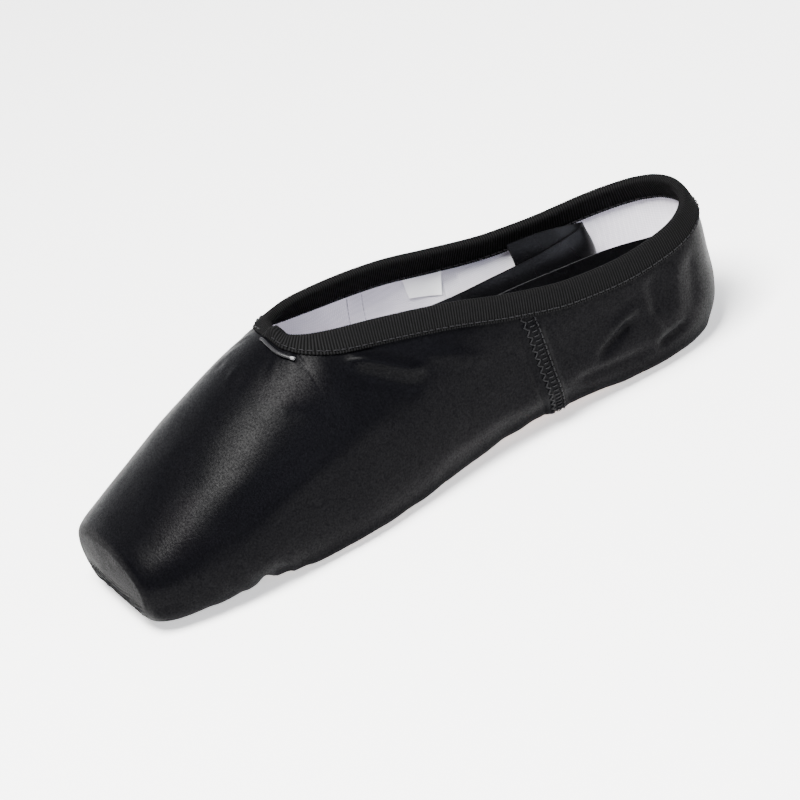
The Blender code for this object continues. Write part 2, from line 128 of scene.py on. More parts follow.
# Underside of the outsole: distance from the toe and height
SOLE_LINE = np.array([
    [30.0, 1.9],
    [42.0, 1.1],
    [52.0, 0.35],
    [60.0, 0.0],
    [104.0, 0.0],
    [116.0, 0.5],
    [134.0, 2.5],
    [152.0, 3.9],
    [170.0, 2.9],
    [188.0, 0.6],
    [198.0, 0.0],
    [246.0, 0.0],
])

FLAT_MARGIN = 0.6
FLAT_LIMIT = 0.86
BOX_FLAT = 0.62
COLLAR_LEAN = 112.0
OPEN_FROM = 12.0
OPEN_FULL = 25.0
PLATFORM_DOME = 0.8

# Points up a half section, fine enough for the pleats: flat, lower curve, upper curve
FLAT_STEPS = 34
LOW_STEPS = 20
HIGH_STEPS = 36
# How those three stretches are counted when a place on the section is named: 0 to 3, 3 to 8, 8 to 15
COLUMN_MARKS = (0.0, 3.0, 8.0, 15.0)
UPPER_ROWS = 234
PLATFORM_RINGS = 24


def steady(table, at):
    """Monotone cubic through the rows of a table whose first column rises."""
    x = table[:, 0]
    y = table[:, 1:]
    h = np.diff(x)
    d = np.diff(y, axis=0) / h[:, None]
    m = np.zeros_like(y)
    m[0] = d[0]
    m[-1] = d[-1]
    for i in range(1, len(x) - 1):
        same = d[i - 1] * d[i] > 0
        w1 = 2 * h[i] + h[i - 1]
        w2 = h[i] + 2 * h[i - 1]
        low = w1 / np.where(same, d[i - 1], 1) + w2 / np.where(same, d[i], 1)
        m[i] = np.where(same, (w1 + w2) / low, 0)
    i = int(np.clip(np.searchsorted(x, at, side="right") - 1, 0, len(x) - 2))
    t = (at - x[i]) / h[i]
    a = (1 + 2 * t) * (1 - t) ** 2
    b = t * (1 - t) ** 2
    c = t * t * (3 - 2 * t)
    e = t * t * (t - 1)
    return a * y[i] + b * h[i] * m[i] + c * y[i + 1] + e * h[i] * m[i + 1]


def counted(table):
    """The table with its row numbers as the first column, to read it by row."""
    return np.column_stack([np.arange(len(table)), table])


def sole_height(s):
    return float(steady(SOLE_LINE, s)[0])


def seat_height(s):
    """Height of the upper's underside, on the outsole."""
    return sole_height(s) + OUTSOLE_THICK + GAP


# Half outline of the sole from front to back, as (half width, distance from the toe)
OUTLINE = np.array([steady(counted(SOLE_OUTLINE), row)[::-1]
                    for row in np.arange(0, len(SOLE_OUTLINE) - 1 + 1e-6, 0.125)])


def sole_half_width(s):
    return float(np.interp(s, OUTLINE[:, 1], OUTLINE[:, 0], left=-9.0, right=-9.0))


def bezier(p0, p1, p2, p3, t):
    t = np.asarray(t)[:, None]
    p0, p1, p2, p3 = (np.array(p) for p in (p0, p1, p2, p3))
    return (1 - t) ** 3 * p0 + 3 * (1 - t) ** 2 * t * p1 + 3 * (1 - t) * t * t * p2 + t ** 3 * p3


def smooth(t):
    t = np.clip(t, 0.0, 1.0)
    return t * t * (3 - 2 * t)


def bell(away, wide):
    """1 at the middle of a soft ridge and 0 far from it."""
    return np.exp(-(away / wide) ** 2)


def section(half, widest, top, reach, under, flat):
    """Half section as (reach, height) from the middle of the underside to the collar or ridge."""
    base = np.column_stack([flat * np.arange(FLAT_STEPS) / FLAT_STEPS, np.full(FLAT_STEPS, under)])
    rise = widest - under
    room = half - flat
    low = bezier((flat, under), (flat + 0.62 * room, under), (half, under + 0.34 * rise), (half, widest),
                 np.linspace(0, 1, LOW_STEPS + 1))
    steps = 1 - np.linspace(1, 0, HIGH_STEPS + 1) ** 1.3
    fine = np.linspace(0, 1, 401)
    over = bezier((half, 0.0), (half, 0.55), (0.6 * half, 1.0), (0.0, 1.0), fine)
    end = float(np.interp(-reach, -over[:, 0], fine))
    box = bezier((half, 0.0), (half, 0.55), (0.6 * half, 1.0), (0.0, 1.0), steps * end)
    box[:, 1] = widest + (top - widest) * box[:, 1] / box[-1, 1]
    up = top - widest
    lean = math.radians(COLLAR_LEAN)
    last = (reach - 0.4 * up * math.cos(lean), top - 0.4 * up * math.sin(lean))
    wall = bezier((half, widest), (half, widest + up * 0.55), last, (reach, top), steps)
    share = float(smooth((reach - OPEN_FROM) / (OPEN_FULL - OPEN_FROM)))
    high = box * (1 - share) + wall * share
    return np.vstack([base, low, high[1:]])


def flat_reach(s, phi, half):
    """How far along a rib the underside stays flat: just past the edge of the outsole."""
    reach = np.arange(0.0, half, 0.25)
    widths = np.interp(s + reach * math.sin(phi), OUTLINE[:, 1], OUTLINE[:, 0], left=-9.0, right=-9.0)
    past = reach * math.cos(phi) > widths + FLAT_MARGIN
    found = reach[max(int(np.argmax(past)) - 1, 0)] if past.any() else reach[-1]
    return min(float(found), FLAT_LIMIT * half)


def upper_station(k):
    """Half section of the upper, in millimetres, from k 0 at the platform past 10 at the throat to 22."""
    ribs = k - len(RINGS) + 1
    if ribs <= 0:
        s, half, widest, top, under = steady(counted(RINGS), k)
        phi = reach = 0.0
        flat = BOX_FLAT * half
        if s >= SOLE_FRONT:
            under = seat_height(s)
            flat = max(flat, flat_reach(s, phi, half))
    else:
        s, turn, half, widest, top, reach = steady(counted(RIBS), ribs)
        phi = math.radians(turn)
        under = seat_height(s + 0.75 * half * math.sin(phi))
        flat = flat_reach(s, phi, half)
    out, height = section(half, widest, top, reach, under, flat).T
    station = np.column_stack([out * math.cos(phi), s + out * math.sin(phi), height])
    if ribs > 0:
        for p in station[:FLAT_STEPS + 1]:
            p[2] = seat_height(p[1])
    return station


def to_world(p):
    """Shoe millimetres (side, distance from the toe, height) to metres in the shared frame."""
    return Vector((p[0] * MM, (p[1] - MIDDLE) * MM, p[2] * MM))


def world_array(points):
    return (np.asarray(points) - np.array([0.0, MIDDLE, 0.0])) * MM


# Mesh helpers

def grid_faces(rows, cols, closed=False):
    faces = []
    for i in range(rows - 1):
        for j in range(cols if closed else cols - 1):
            n = (j + 1) % cols
            faces.append((i * cols + j, i * cols + n, (i + 1) * cols + n, (i + 1) * cols + j))
    return faces


def shifted(faces, first):
    return [tuple(first + k for k in face) for face in faces]


def tube_faces(rings, count):
    """Faces of a closed tube of rings of points, with both its ends."""
    ends = [tuple(range(count - 1, -1, -1)), tuple(range((rings - 1) * count, rings * count))]
    return grid_faces(rings, count, True) + ends


def unit(vectors):
    """Vectors brought to length 1, along the last axis."""
    return vectors / np.maximum(np.linalg.norm(vectors, axis=-1, keepdims=True), 1e-12)


def circle(count):
    """Even places round a circle, as (cosine, sine)."""
    return [(math.cos(2 * math.pi * j / count), math.sin(2 * math.pi * j / count)) for j in range(count)]


def run_along(line):
    """Distance along a line of points, from 0 at its start."""
    return np.concatenate([[0.0], np.cumsum(np.linalg.norm(np.diff(line, axis=0), axis=1))])


def read_line(line, run, at):
    """The points of a line at distances along it."""
    return np.column_stack([np.interp(at, run, column) for column in np.transpose(line)])


def put_in_scene(name, data):
    thing = bpy.data.objects.new(name, data)
    bpy.context.scene.collection.objects.link(thing)
    return thing


def make_piece(name, verts, faces, mat, smooth_angle, relief=None):
    """A piece on the shoe from points in the shared frame, with its faces turned outward.
    relief is a number from 0 in a groove to 1 on a crest for each point, for the finish to read."""
    mesh = bpy.data.meshes.new(name)
    mesh.from_pydata([tuple(v) for v in verts], [], faces)
    if relief is not None:
        layer = mesh.attributes.new("relief", "FLOAT", "POINT")
        layer.data.foreach_set("value", np.asarray(relief, dtype=np.float32))
    bm = bmesh.new()
    bm.from_mesh(mesh)
    bmesh.ops.remove_doubles(bm, verts=bm.verts, dist=1e-6)
    bmesh.ops.dissolve_degenerate(bm, dist=1e-7, edges=bm.edges)
    bmesh.ops.recalc_face_normals(bm, faces=bm.faces)
    bm.to_mesh(mesh)
    bm.free()
    mesh.shade_smooth()
    if smooth_angle:
        mesh.set_sharp_from_angle(angle=math.radians(smooth_angle))
    mesh.materials.append(mat)
    piece = put_in_scene(name, mesh)
    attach(piece, "root")
    return piece


# Material helpers

def tone(code):
    """An sRGB hex value as linear red, green, blue and alpha."""
    parts = [int(code[i:i + 2], 16) / 255 for i in (1, 3, 5)]
    return tuple(c / 12.92 if c <= 0.04045 else ((c + 0.055) / 1.055) ** 2.4 for c in parts) + (1.0,)


def add_node(tree, kind, values=None, links=None, **settings):
    """A node with its settings, the values of its sockets and the sockets that feed it."""
    node = tree.nodes.new(kind)
    for key, value in settings.items():
        setattr(node, key, value)
    for key, value in (values or {}).items():
        node.inputs[key].default_value = value
    for key, source in (links or {}).items():
        tree.links.new(source, node.inputs[key])
    return node


def new_finish(name, **values):
    """A material, its tree, its shader with the shader's own sockets set, and the place on the piece."""
    mat = bpy.data.materials.new(name)
    mat.use_nodes = True
    tree = mat.node_tree
    shader = tree.nodes["Principled BSDF"]
    for key, value in values.items():
        shader.inputs[key.replace("_", " ")].default_value = value
    place = add_node(tree, "ShaderNodeTexCoord").outputs["Object"]
    return mat, tree, shader, place


def noise_at(tree, place, scale, detail=2.0, rough=0.5):
    """Cloudy noise over a place, from 0 to 1."""
    values = {"Scale": scale, "Detail": detail, "Roughness": rough}
    return add_node(tree, "ShaderNodeTexNoise", values, {"Vector": place}).outputs["Fac"]


def waves_at(tree, place, scale, wander, way):
    """Even bands across one direction, from 0 to 1."""
    values = {"Scale": scale, "Distortion": wander}
    node = add_node(tree, "ShaderNodeTexWave", values, {"Vector": place}, bands_direction=way)
    return node.outputs["Fac"]


def relief_of(tree):
    """The number that the mesh carries: 0 in a groove, 1 on a crest or a rubbed place."""
    return add_node(tree, "ShaderNodeAttribute", attribute_name="relief").outputs["Fac"]


def combined(tree, operation, first, second):
    """A socket with another socket, or with a number."""
    fixed = isinstance(second, float)
    values = {1: second} if fixed else {}
    links = {0: first} if fixed else {0: first, 1: second}
    return add_node(tree, "ShaderNodeMath", values, links, operation=operation).outputs[0]


def ranged(tree, source, low, high, start=0.0, stop=1.0):
    """What lies between start and stop, laid out between low and high."""
    values = {"From Min": start, "From Max": stop, "To Min": low, "To Max": high}
    return add_node(tree, "ShaderNodeMapRange", values, {"Value": source}).outputs["Result"]


def shaded(tree, share, dark, light):
    """A colour between two tones."""
    values = {6: tone(dark), 7: tone(light)}
    return add_node(tree, "ShaderNodeMix", values, {0: share}, data_type="RGBA").outputs[2]


def feed(tree, shader, height=None, strength=0.0, deep=0.0, **links):
    """Links sockets to the shader's, and a bump made from a height."""
    if height is not None:
        values = {"Strength": strength, "Distance": deep}
        links["Normal"] = add_node(tree, "ShaderNodeBump", values, {"Height": height}).outputs["Normal"]
    for key, source in links.items():
        tree.links.new(source, shader.inputs[key.replace("_", " ")])


# The satin's floats run along the shoe: how finely they are drawn in each direction
SATIN_STRETCH = (260.0, 1500.0, 900.0)
SATIN_GRAIN = 1500.0
SATIN_CLOUDS = 42.0
RUBBED_SHINE = 0.2
LOW_EDGE_RUBBED = 0.75


def satin(name, base, deep, gloss, rough, thread_mm, glitter):
    """Woven satin, floats lying along the shoe: black that turns grey and grainy at a slant."""
    mat, tree, shader, place = new_finish(name, Sheen_Weight=0.004, Sheen_Roughness=0.3, IOR=1.5,
                                          Sheen_Tint=tone("#b4b6c4"), Anisotropic=0.35)
    along = add_node(tree, "ShaderNodeMapping", {"Scale": SATIN_STRETCH}, {"Vector": place})
    floats = noise_at(tree, along.outputs["Vector"], 1.0 / thread_mm, 2.0, 0.6)
    grain = noise_at(tree, place, SATIN_GRAIN, 3.0, 0.75)
    cloudy = noise_at(tree, place, SATIN_CLOUDS, 3.0)
    weave = combined(tree, "MULTIPLY", combined(tree, "ADD", floats, grain), 0.5)
    shine = ranged(tree, relief_of(tree), gloss, gloss * RUBBED_SHINE)
    specks = ranged(tree, grain, 1 - glitter, 1 + glitter, 0.35, 0.65)
    feed(tree, shader, weave, 0.45, 0.0002, Base_Color=shaded(tree, weave, deep, base),
         Roughness=ranged(tree, cloudy, rough - 0.05, rough + 0.07, 0.3, 0.7),
         Specular_IOR_Level=combined(tree, "MULTIPLY", shine, specks))
    return mat


def grosgrain(name):
    """Grosgrain tape, woven with thick cross cords: matt black ribs; the cords are in the mesh, with painted
    shade in the grooves between them and the crests painted lighter.
    """
    mat, tree, shader, place = new_finish(name, IOR=1.5, Sheen_Weight=0.004, Sheen_Tint=tone("#bdbdb4"))
    grain = noise_at(tree, place, 1800.0, 3.0, 0.7)
    fuzz = ranged(tree, grain, 0.55, 1.0, 0.3, 0.7)
    # painted shade: the colour is darkest in the grooves and lighter on the crests, by the crest share that
    # the tape's mesh carries; the gloss follows it
    lit = combined(tree, "MULTIPLY", combined(tree, "POWER", relief_of(tree), 2.2), fuzz)
    feed(tree, shader, grain, 0.3, 0.0001, Base_Color=shaded(tree, lit, "#060606", "#161617"),
         Specular_IOR_Level=ranged(tree, lit, 0.0, 0.05), Roughness=ranged(tree, grain, 0.62, 0.82))
    return mat


def woven_cotton(name, light, dark, thread_mm, strength):
    """Plain woven cotton: matt, with a fine square weave drawn coarser than life so that it shows."""
    mat, tree, shader, place = new_finish(name, IOR=1.47, Specular_IOR_Level=0.25, Sheen_Weight=0.25,
                                          Sheen_Roughness=0.6, Roughness=0.88)
    weave = [waves_at(tree, place, 0.314 / (thread_mm * MM), 0.6, way) for way in "XYZ"]
    both = combined(tree, "ADD", combined(tree, "MULTIPLY", weave[0], weave[1]), weave[2])
    share = combined(tree, "ADD", combined(tree, "MULTIPLY", both, 0.25), noise_at(tree, place, 60.0, 4.0))
    feed(tree, shader, both, strength, 0.00015, Base_Color=shaded(tree, share, dark, light))
    return mat


def sole_leather(name):
    """Vegetable tanned sole leather, rolled: pinkish beige, half matt, with pores and rubbed patches."""
    mat, tree, shader, place = new_finish(name, IOR=1.5, Specular_IOR_Level=0.4)
    pores = add_node(tree, "ShaderNodeTexVoronoi", {"Scale": 1100.0}, {"Vector": place}).outputs["Distance"]
    cloudy = noise_at(tree, place, 38.0, 6.0, 0.6)
    feed(tree, shader, pores, 0.25, 0.00015, Base_Color=shaded(tree, cloudy, "#b98f78", "#e3c6b2"),
         Roughness=ranged(tree, cloudy, 0.48, 0.7))
    return mat


def twisted_thread(name, light, dark, rough, gloss=0.4, cut=None):
    """Twisted sewing thread: a fine slanted twist with a low gloss; cut is the tone of a cut end."""
    mat, tree, shader, place = new_finish(name, IOR=1.5, Roughness=rough, Specular_IOR_Level=gloss)
    twist = waves_at(tree, place, 900.0, 0.5, "DIAGONAL")
    shade = shaded(tree, twist, dark, light)
    if cut:
        links = {0: relief_of(tree), 6: shade}
        shade = add_node(tree, "ShaderNodeMix", {7: tone(cut)}, links, data_type="RGBA").outputs[2]
    feed(tree, shader, twist, 0.3, 0.0001, Base_Color=shade)
    return mat


# The upper's outer surface: a dense grid from the last's own sections

def row_keys(count):
    """Stations spread along the shoe, twice as close in the pleated box and at the side seam."""
    keys = np.arange(0.0, 22.001, 0.05)
    marks = np.array([upper_station(k)[[FLAT_STEPS + LOW_STEPS, -1]] for k in keys])
    moves = np.linalg.norm(np.diff(marks, axis=0), axis=2).max(axis=1)
    place = marks[1:, 0, 1]
    weight = np.where((place < 44.0) | (np.abs(place - SEAM_FOOT - 1.5) < 8.5), 2.0, 1.0)
    run = np.concatenate([[0.0], np.cumsum(moves * weight)])
    return np.interp(np.linspace(0.0, run[-1], count), run, keys)


def upper_grid():
    """Points [row, column] over the whole upper in shoe millimetres, from the -X collar to the +X one,
    with each column's mark: negative on the -X side."""
    edge = upper_station(0.0)
    centre = np.array([0.0, 0.0, RINGS[0, 2]])
    rows = []
    for share in np.linspace(0.0, 1.0, PLATFORM_RINGS + 1)[:-1]:
        row = centre + (edge - centre) * share
        row[:, 1] = -PLATFORM_DOME * (1 - share ** 2)
        rows.append(row)
    rows += [upper_station(k) for k in row_keys(UPPER_ROWS)]
    half = np.array(rows)
    half[:, 0, 0] = 0.0
    marks = np.concatenate([
        np.linspace(COLUMN_MARKS[0], COLUMN_MARKS[1], FLAT_STEPS, endpoint=False),
        np.linspace(COLUMN_MARKS[1], COLUMN_MARKS[2], LOW_STEPS, endpoint=False),
        np.linspace(COLUMN_MARKS[2], COLUMN_MARKS[3], HIGH_STEPS + 1),
    ])
    mirrored = half[:, :0:-1] * np.array([-1.0, 1.0, 1.0])
    return np.concatenate([mirrored, half], axis=1), np.concatenate([-marks[:0:-1], marks])


def grid_normals(grid):
    """Outward normals of the grid, from its neighbours."""
    across = np.gradient(grid, axis=1)
    along = np.gradient(grid, axis=0)
    normal = unit(np.cross(across, along))
    normal[0] = (0.0, -1.0, 0.0)
    on_plane = np.abs(grid[..., 0]) < 1e-6
    on_plane[0] = False
    normal[on_plane, 0] = 0.0
    normal = unit(normal)
    middle = np.array([0.0, 100.0, 22.0])
    if np.sum(normal * (grid - middle)) < 0:
        normal = -normal
    return normal


# Soft troughs of the satin, and ridges where the depth is below 0: start, end, half width
# and depth. The first are seen from the side (distance from the toe, height; then the side, 1 or -1), the
# others from the top (side, distance from the toe)
SIDE_CREASES = [
    ((180.5, 19), (195.5, 26), 1.8, 1.5, 1),
    ((204, 11.4), (216.5, 13.4), 1.5, 1.4, 1),
    ((187, 26.5), (199, 30.5), 2.4, -0.95, 1),
    ((200.9, 30.3), (206, 14), 2.2, -0.9, 1),
    ((206.5, 37), (206, 23), 2.4, 0.9, 1),
    ((217.7, 37), (213.6, 18), 3.4, -0.8, 1),
    ((225.5, 36), (222, 18), 2.6, 0.5, 1),
    ((170, 14.5), (200, 11.5), 2.2, 0.9, 1),
    ((96, 60.2), (116, 47), 2.3, -2.7, 1),
    ((94, 55.5), (113, 43), 3, 0.9, 1),
    ((118, 52.5), (140, 39.5), 2.6, -0.6, 1),
    ((98, 40), (49, 30.5), 4.6, -0.55, 1),
    ((80, 45), (30, 29), 3.6, 0.4, 1),
    ((112, 10), (146, 13.5), 3.6, 0.5, 1),
    ((120, 18), (152, 21), 4.2, 0.45, 1),
    ((146, 40), (155, 30), 2.4, 0.4, 1),
    ((182, 16), (196, 25), 2.2, 0.85, -1),
    ((203, 13), (214, 20), 2, 0.8, -1),
    ((207, 36), (204, 22), 2.8, 0.5, -1),
    ((217, 35), (214, 18), 3.4, -0.5, -1),
    ((98, 58), (116, 44), 2.6, 0.45, -1),
    ((95, 38), (50, 30), 4.6, -0.5, -1),
    ((116, 11), (150, 15), 4, 0.5, -1),
]
TOP_CREASES = [
    ((-11, 62), (-1, 73), 1.6, 0.45),
    ((9, 60), (4, 72), 1.7, 0.4),
    ((2, 60), (1, 74), 1.5, -0.35),
    ((26.5, 68.5), (32, 76.5), 1.5, 0.5),
    ((-25, 70), (-30, 79), 1.8, 0.4),
]


def trough(points, start, end, wide):
    """1 along a line and 0 away from it, for points in a plane, fading at both ends (a ridge: below 0)."""
    start, end = np.array(start), np.array(end)
    run = end - start
    t = ((points - start) @ run) / (run @ run)
    nearest = start + np.clip(t, 0, 1)[..., None] * run
    away = np.linalg.norm(points - nearest, axis=-1)
    fade = smooth((t + 0.15) / 0.35) * smooth((1.15 - t) / 0.35)
    return bell(away, wide) * fade


# Pleats where the satin is gathered under the box: rays from a place under the ball of the foot
PLEAT_CENTRE = 66.0
PLEAT_TURN = math.radians(10.5)
PLEAT_DEPTH = 0.85
PLEAT_SKEW = 0.28


def pleats(grid):
    """Raised, skewed folds that fan out from the sole's front edge to the platform and round the sides."""
    x, s, z = np.moveaxis(grid, -1, 0)
    turn = np.arctan2(x, PLEAT_CENTRE - s)
    away = np.hypot(x, PLEAT_CENTRE - s)
    wander = 0.10 * np.sin(turn * 7.0 + 0.6) + 0.015 * np.sin(away * 0.35 + turn * 9.0)
    phase = (turn / PLEAT_TURN + wander) % 1.0
    climb = smooth(phase / PLEAT_SKEW)
    rise = np.where(phase < PLEAT_SKEW, climb, 1 - smooth((phase - PLEAT_SKEW) / (1 - PLEAT_SKEW)))
    under = smooth((15.0 - z) / 9.0)
    front = smooth((60.0 - s) / 12.0)
    wide = smooth((math.radians(104.0) - np.abs(turn)) / math.radians(16.0))
    fade = 1 - 0.72 * smooth((away - 24.0) / 40.0)
    platform = 0.25 + 0.75 * smooth((s - 0.5) / 4.0)
    return (rise - 0.4) * PLEAT_DEPTH * under * front * wide * fade * platform


GATHER_CENTRE = 84.0
GATHER_DEPTH = 0.28
WRINKLE_DEPTH = 0.26
BACK_SEAM_DEPTH = 0.45


def throat_gathers(grid):
    """Small puckers in the satin just in front of the throat, where the tape is drawn in."""
    x, s, z = np.moveaxis(grid, -1, 0)
    turn = np.arctan2(x, GATHER_CENTRE - s)
    away = np.hypot(x, GATHER_CENTRE - s)
    ring = smooth((away - 10.0) / 3.0) * smooth((24.0 - away) / 10.0)
    front = smooth((86.0 - s) / 6.0) * (z > 50.0)
    return GATHER_DEPTH * np.cos(turn * 21.0 + 0.7 * np.sin(turn * 4.0)) * ring * front


SEAM_GROOVE = 0.45
# Share of the side seam's lean, and how far its band stands off, at each mark up the section
SEAM_SHARES = (0, 0, 0, 0, 0.05, 0.15, 0.3, 0.45, 0.6, 0.72, 0.82, 0.9, 0.95, 0.98, 1, 1)
SEAM_RISES = (0, 0, 0, 0, 0.4, 1, 1, 1, 1, 1, 1, 1, 0, 0, 0, 0)


def seam_line(mark):
    """Distance from the toe to the side seam's front edge at a mark."""
    return SEAM_FOOT - SEAM_LEAN * np.interp(mark, np.arange(len(SEAM_SHARES)), SEAM_SHARES)


def seam_raise(grid, marks):
    """The band of the side seam stands off the wall, with a pulled-in line along its front edge."""
    rise = np.interp(np.abs(marks), np.arange(len(SEAM_RISES)), SEAM_RISES)
    behind = grid[..., 1] - seam_line(np.abs(marks))
    band = SEAM_STEP * smooth((behind + 0.5) / 0.9) * smooth((SEAM_WIDTH + 0.5 - behind) / 0.9)
    groove = SEAM_GROOVE * bell(behind + 0.9, 0.8)
    return rise * (band - groove)


SOLE_ROLL = 1.4
WAIST_ROLL = 1.2


def sole_roll(grid, marks):
    """The gathered satin swells down round the edge of the sole and hides it from above."""
    bulge = bell(np.abs(marks) - 4.0, 0.95)
    s = grid[..., 1]
    along = smooth((s - 38.0) / 8.0) * smooth((234.0 - s) / 8.0)
    lumps = 0.92 + 0.08 * np.sin(s * 0.31 + 1.3 * np.sin(s * 0.13))
    waist = 1 + WAIST_ROLL * bell(s - 150.0, 28.0)
    return SOLE_ROLL * bulge * along * lumps * waist


def platform_wrinkles(grid):
    """Fine level wrinkles low on the platform, where the satin is drawn under."""
    x, s, z = np.moveaxis(grid, -1, 0)
    bow = z - 0.006 * x * x
    ripple = np.sin(bow * 3.6 + 0.8 * np.sin(x * 0.24)) + 0.5 * np.sin(bow * 6.1 + x * 0.2)
    low = smooth((14.5 - z) / 5.0) * smooth((z - 4.6) / 1.5)
    return WRINKLE_DEPTH * ripple * low * smooth((3.0 - s) / 2.0) * smooth((25.0 - np.abs(x)) / 8.0)


def back_seam(grid):
    """A narrow groove down the back of the heel."""
    x, s, z = np.moveaxis(grid, -1, 0)
    return -BACK_SEAM_DEPTH * bell(x, 0.9) * (s > 225.0) * smooth((z - 5.0) / 4.0)


def soft_waves(grid):
    """The cloth's own slight unevenness."""
    flat = grid.reshape(-1, 3)
    broad = flat * (0.05, 0.035, 0.055)
    close = flat * (0.16, 0.12, 0.16)
    wave = [0.22 * noise.noise(a) + 0.07 * noise.noise(b) for a, b in zip(broad.tolist(), close.tolist())]
    return np.array(wave).reshape(grid.shape[:2])


def shaped_upper():
    """The grid with folds, and its marks. Nothing is moved under the tape or over the outsole."""
    grid, marks = upper_grid()
    x, s, z = np.moveaxis(grid, -1, 0)
    normal = grid_normals(grid)
    facing = normal[..., 2]
    upright = (z > 3.0) & (np.abs(facing) < 0.86)
    move = np.zeros(grid.shape[:2])
    for start, end, wide, depth, side in SIDE_CREASES:
        move -= depth * trough(grid[..., 1:], start, end, wide) * (np.sign(x) == side) * upright
    for start, end, wide, depth in TOP_CREASES:
        move -= depth * trough(grid[..., :2], start, end, wide) * (facing > 0.2)
    for form in (pleats, throat_gathers, soft_waves, platform_wrinkles, back_seam):
        move += form(grid)
    collar = np.where(grid[..., :1] < 0, grid[:, :1], grid[:, -1:])
    to_collar = np.linalg.norm(grid - collar, axis=2)
    behind_throat = s > RINGS[-1, 0] - 16.0
    off_tape = np.where(behind_throat, smooth((to_collar - BINDING_OUT - 0.4) / 2.6), 1.0)
    over_sole = (facing < -0.9) & (s > SOLE_FRONT - 1.0)
    inside_sole = np.abs(x) < np.interp(s, OUTLINE[:, 1], OUTLINE[:, 0] + 1.5)
    move *= off_tape * np.where(over_sole & inside_sole, 0.0, 1.0)
    move += seam_raise(grid, marks) + sole_roll(grid, marks)
    return grid + normal * move[..., None], marks


def build_upper(satin_mat, lining_mat):
    """Hollow upper with its real wall: satin outside, cotton inside, open at the collar and underneath."""
    grid, marks = shaped_upper()
    rows, cols = grid.shape[:2]
    points = grid.reshape(-1, 3)
    faces = []
    for face in grid_faces(rows, cols):
        x, s, z = points[list(face)].mean(axis=0)
        over_opening = SOLE_FRONT + OPENING_INSET < s < SOLE_BACK - OPENING_INSET
        over_opening = over_opening and abs(x) < sole_half_width(s) - OPENING_INSET
        if not (over_opening and z < seat_height(s) + OPENING_DEPTH):
            faces.append(face)
    lengths = np.linspace(-2.0, 246.0, 497)
    underside = np.interp(grid[..., 1], lengths, [sole_height(s) for s in lengths])
    platform = smooth((2.6 - grid[..., 1]) / 2.2)
    low_edge = LOW_EDGE_RUBBED * smooth((11.0 - grid[..., 2] + underside) / 7.0)
    rubbed = np.maximum(platform, low_edge).ravel()
    upper = make_piece("upper_satin", world_array(points), faces, satin_mat, None, rubbed)
    upper.data.materials.append(lining_mat)
    wall = upper.modifiers.new("wall", "SOLIDIFY")
    wall.thickness = WALL * MM
    wall.offset = -1.0
    wall.use_even_offset = False
    wall.material_offset = 1
    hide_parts("upper")
    return grid, marks


class Skin:
    """The upper's outer surface, for pieces that lie on it, in metres."""

    def __init__(self, grid, marks):
        self.grid = grid
        self.marks = marks
        self.verts = [Vector(v) for v in world_array(grid.reshape(-1, 3))]
        self.normals = [Vector(n) for n in grid_normals(grid).reshape(-1, 3)]
        self.faces = grid_faces(*grid.shape[:2])
        self.tree = BVHTree.FromPolygons(self.verts, self.faces)

    def at(self, point):
        """Nearest place and the smooth normal there."""
        place, _, index, _ = self.tree.find_nearest(point)
        normal = Vector((0.0, 0.0, 0.0))
        for v in self.faces[index]:
            normal += self.normals[v] / ((self.verts[v] - place).length + 1e-4)
        return place, normal.normalized()

    def off(self, point, millimetres):
        place, normal = self.at(point)
        return place + normal * millimetres * MM

    def across_foot(self, mark, s, side):
        """The place at a section mark and a distance from the toe, with its normal."""
        columns = self.grid.shape[1]
        column = float(np.interp(mark * side, self.marks, np.arange(columns)))
        low = int(min(column, columns - 2))
        line = self.grid[:, low] * (1 - column + low) + self.grid[:, low + 1] * (column - low)
        line = line[PLATFORM_RINGS:].T
        return self.at(to_world([np.interp(s, line[1], axis) for axis in line]))


# Collar binding

RIB_PITCH = 0.95
RIB_DEPTH = 0.26
TAPE_RUN_STEP = 0.8
TAPE_FINE = 4
# How many points of the tape's ring show; the rest face the satin and the lining
TAPE_OUTSIDE = 15


def collar_path(side):
    """The collar edge from the throat to the heel on one side, evenly spaced, and distance round."""
    raw = np.array([upper_station(k)[-1] for k in np.arange(10.0, 22.001, 0.05)])
    raw[0, 0] = 0.0
    raw[-1, 0] = 0.0
    raw[:, 0] *= side
    run = run_along(raw)
    at = np.linspace(0.0, run[-1], int(run[-1] / TAPE_RUN_STEP) + 1)
    return read_line(raw, run, at), at


def leg_out(d):
    return BINDING_OUT - THROAT_CUT_OUT * bell(d, THROAT_CUT_RUN)


def leg_in(d):
    return BINDING_IN - THROAT_CUT_IN * bell(d, THROAT_CUT_RUN)


def collar_frames(skin, side):
    pts, at = collar_path(side)
    frames = []
    for i, p in enumerate(pts):
        here = to_world(p)
        ends = i in (0, len(pts) - 1)
        if ends:
            tangent = Vector((1.0 if i == 0 else -1.0, 0.0, 0.0)) * side
        else:
            tangent = (to_world(pts[i + 1]) - to_world(pts[i - 1])).normalized()
        _, normal = skin.at(here)
        if ends:
            normal.x = 0.0
            normal.normalize()
        down = tangent.cross(normal).normalized()
        if i * TAPE_RUN_STEP < 9.0:
            down = down if down.y < 0 else -down
        else:
            down = down if down.z < 0 else -down
        frames.append((here, down, at[i]))
    return frames


BUNCH_AT = 3.0
BUNCH_RUN = 2.6
BUNCH_RISE = 2.1


